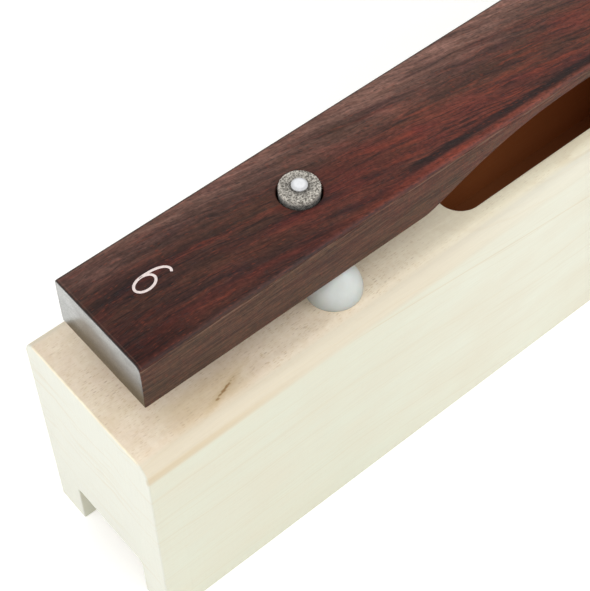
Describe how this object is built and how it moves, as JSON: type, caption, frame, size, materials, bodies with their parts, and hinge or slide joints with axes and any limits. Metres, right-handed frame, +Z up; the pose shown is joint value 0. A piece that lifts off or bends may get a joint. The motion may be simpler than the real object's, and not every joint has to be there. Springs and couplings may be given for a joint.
{
  "type": "resonator bar",
  "caption": "Tuned wooden sound bar lying on rubber buffers and felt-covered pins over a hollow wooden resonator box with a rounded mouth.",
  "frame": {"origin": "on the table, under the middle of the resonator box", "axes": "+X along the sound bar, +Y across it, +Z up from the table to the bar"},
  "size_m": [0.368, 0.061, 0.1278],
  "materials": {
    "rosewood": "oiled dark red-brown rosewood with fine grain along the bar, slightly glossy",
    "box_wood": "pale cream hardwood with a thin matt lacquer",
    "bottom_panel": "pale plywood, sanded and unvarnished",
    "white_rubber": "smooth cool white rubber, satin",
    "felt": "dense mottled grey-beige felt",
    "pin_metal": "bright plated nail steel"
  },
  "bodies": {
    "box": {"top_board": "box_wood", "side_wall_near": "box_wood", "side_wall_far": "box_wood", "end_wall_left": "box_wood", "end_wall_right": "box_wood", "bottom_board": "bottom_panel", "pin_rail_left": "box_wood", "pin_rail_right": "box_wood", "pin_left": "pin_metal", "pin_right": "pin_metal", "felt_bush_left": "felt", "felt_bush_right": "felt", "buffer_left_near": "white_rubber", "buffer_left_far": "white_rubber", "buffer_right_near": "white_rubber", "buffer_right_far": "white_rubber"},
    "bar": {"sound_bar": "rosewood"}
  },
  "joints": [
    {"name": "bar_lift", "type": "slide", "parent": "box", "child": "bar", "axis": [0, 0, 1], "range_m": [0, 0.03]}
  ]
}
